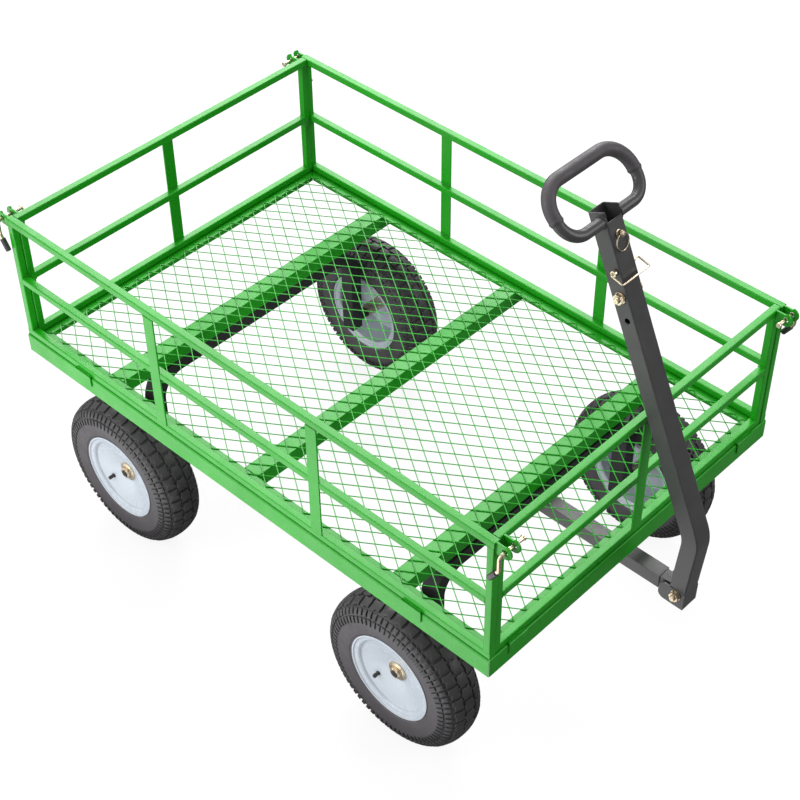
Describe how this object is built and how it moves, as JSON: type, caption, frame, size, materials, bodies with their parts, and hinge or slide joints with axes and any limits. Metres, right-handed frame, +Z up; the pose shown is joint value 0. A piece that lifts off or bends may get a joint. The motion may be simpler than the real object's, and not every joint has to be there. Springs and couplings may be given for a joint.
{
  "type": "tow behind cart",
  "caption": "Four-wheeled steel garden cart with a mesh deck, lift-off railed sides and a loop handle that also tows behind a small tractor.",
  "frame": {"origin": "on the ground, below the middle of the whole cart with its handle upright", "axes": "+Z up, -Y to the front where the handle is, +X to the right seen by someone who faces the cart's front end"},
  "size_m": [0.88, 1.4978, 1.2062],
  "materials": {
    "green_paint": "gloss powder coat",
    "charcoal_paint": "satin powder coat",
    "rim_paint": "gloss enamel",
    "zinc": "yellow zinc plate",
    "tyre": "moulded rubber",
    "grip_rubber": "soft foam rubber",
    "vinyl": "dipped vinyl"
  },
  "bodies": {
    "chassis": {"frame_rail_left": "green_paint", "frame_rail_right": "green_paint", "frame_rail_front": "green_paint", "frame_rail_rear": "green_paint", "crossmember_front": "green_paint", "crossmember_middle": "green_paint", "crossmember_rear": "green_paint", "deck_mesh": "green_paint", "side_panel_left": "green_paint", "side_panel_right": "green_paint", "end_panel_front": "green_paint", "end_panel_rear": "green_paint", "rear_axle": "charcoal_paint", "turntable_upper_plate": "charcoal_paint", "kingpin_bolt": "zinc", "stub_axle_rear_left": "charcoal_paint", "stub_axle_rear_right": "charcoal_paint", "axle_nut_rear_left": "zinc", "axle_nut_rear_right": "zinc"},
    "steering": {"front_axle": "charcoal_paint", "turntable_lower_plate": "charcoal_paint", "tongue": "charcoal_paint", "stub_axle_front_left": "charcoal_paint", "stub_axle_front_right": "charcoal_paint", "axle_nut_front_left": "zinc", "axle_nut_front_right": "zinc"},
    "wheel_front_left": {"tyre_front_left": "tyre", "rim_front_left": "rim_paint", "hub_bearing_front_left": "zinc", "valve_stem_front_left": "vinyl"},
    "wheel_front_right": {"tyre_front_right": "tyre", "rim_front_right": "rim_paint", "hub_bearing_front_right": "zinc", "valve_stem_front_right": "vinyl"},
    "wheel_rear_left": {"tyre_rear_left": "tyre", "rim_rear_left": "rim_paint", "hub_bearing_rear_left": "zinc", "valve_stem_rear_left": "vinyl"},
    "wheel_rear_right": {"tyre_rear_right": "tyre", "rim_rear_right": "rim_paint", "hub_bearing_rear_right": "zinc", "valve_stem_rear_right": "vinyl"},
    "handle": {"handle_tube": "charcoal_paint", "handle_clevis": "charcoal_paint", "handle_pivot_bolt": "zinc", "grip_loop": "charcoal_paint", "grip_cover": "grip_rubber", "bail_pin": "zinc", "handle_cross_bolt": "zinc"},
    "bail": {"bail_wire": "zinc"},
    "hitch_pin": {"hitch_pin": "zinc"},
    "hitch_ring": {"hitch_ring": "zinc"},
    "latch_front_left": {"latch_rod_front_left": "zinc", "latch_cap_front_left": "vinyl"},
    "latch_front_right": {"latch_rod_front_right": "zinc", "latch_cap_front_right": "vinyl"},
    "latch_rear_left": {"latch_rod_rear_left": "zinc", "latch_cap_rear_left": "vinyl"},
    "latch_rear_right": {"latch_rod_rear_right": "zinc", "latch_cap_rear_right": "vinyl"}
  },
  "joints": [
    {"name": "front_steer", "type": "hinge", "parent": "chassis", "child": "steering", "pos_m": [0, -0.34203, 0.4], "axis": [0, 0, 1], "range_deg": [-12, 12]},
    {"name": "front_left_wheel_spin", "type": "hinge", "parent": "steering", "child": "wheel_front_left", "pos_m": [-0.3827, -0.34203, 0.178], "axis": [1, 0, 0], "continuous": true},
    {"name": "front_right_wheel_spin", "type": "hinge", "parent": "steering", "child": "wheel_front_right", "pos_m": [0.3827, -0.34203, 0.178], "axis": [1, 0, 0], "continuous": true},
    {"name": "rear_left_wheel_spin", "type": "hinge", "parent": "chassis", "child": "wheel_rear_left", "pos_m": [-0.3827, 0.47197, 0.178], "axis": [1, 0, 0], "continuous": true},
    {"name": "rear_right_wheel_spin", "type": "hinge", "parent": "chassis", "child": "wheel_rear_right", "pos_m": [0.3827, 0.47197, 0.178], "axis": [1, 0, 0], "continuous": true},
    {"name": "handle_tilt", "type": "hinge", "parent": "steering", "child": "handle", "pos_m": [0, -0.71203, 0.374], "axis": [1, 0, 0], "range_deg": [0, 115]},
    {"name": "bail_swing", "type": "hinge", "parent": "handle", "child": "bail", "pos_m": [0, -0.50206, 1.03893], "axis": [-1, 0, 0], "range_deg": [0, 78]},
    {"name": "hitch_pin_pull", "type": "slide", "parent": "handle", "child": "hitch_pin", "axis": [0, -0.9117, 0.4108], "range_m": [0, 0.046]},
    {"name": "hitch_ring_swing", "type": "hinge", "parent": "hitch_pin", "child": "hitch_ring", "pos_m": [0, -0.49213, 1.10439], "axis": [-1, 0, 0], "range_deg": [0, 150]},
    {"name": "latch_front_left_pull", "type": "slide", "parent": "chassis", "child": "latch_front_left", "axis": [-1, 0, 0], "range_m": [0, 0.05]},
    {"name": "latch_front_right_pull", "type": "slide", "parent": "chassis", "child": "latch_front_right", "axis": [1, 0, 0], "range_m": [0, 0.05]},
    {"name": "latch_rear_left_pull", "type": "slide", "parent": "chassis", "child": "latch_rear_left", "axis": [-1, 0, 0], "range_m": [0, 0.05]},
    {"name": "latch_rear_right_pull", "type": "slide", "parent": "chassis", "child": "latch_rear_right", "axis": [1, 0, 0], "range_m": [0, 0.05]}
  ]
}
